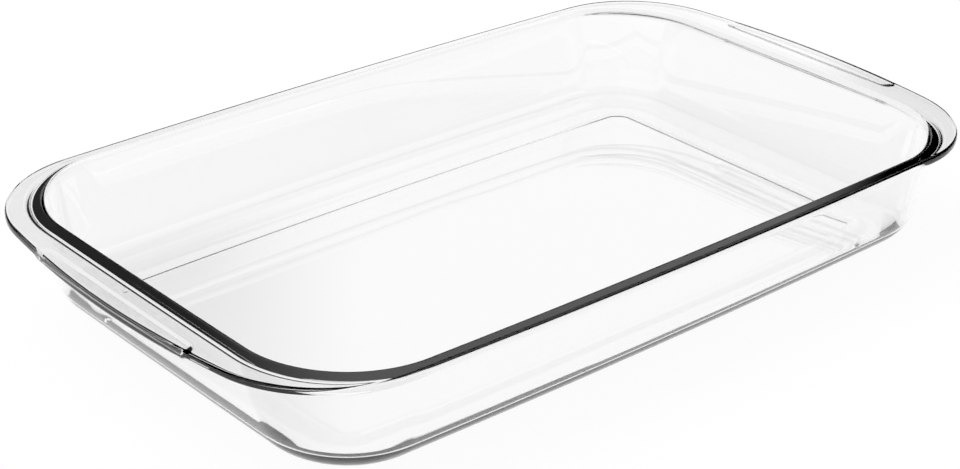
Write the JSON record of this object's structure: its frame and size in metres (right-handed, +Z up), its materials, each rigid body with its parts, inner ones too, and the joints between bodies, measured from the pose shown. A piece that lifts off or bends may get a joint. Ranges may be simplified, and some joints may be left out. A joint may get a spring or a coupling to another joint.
{
  "type": "baking dish",
  "caption": "Rectangular clear pressed-glass baking dish with leaning walls, rounded corners and a flat rim that widens into a bowed handle at each end.",
  "frame": {"origin": "centre of the flat underside, on the surface the dish stands on", "axes": "+X along the dish through both handles, +Y across it, +Z up"},
  "size_m": [0.386, 0.2246, 0.048],
  "materials": {
    "clear_glass": "gloss"
  },
  "bodies": {
    "root": {"glass_dish": "clear_glass"}
  },
  "joints": []
}
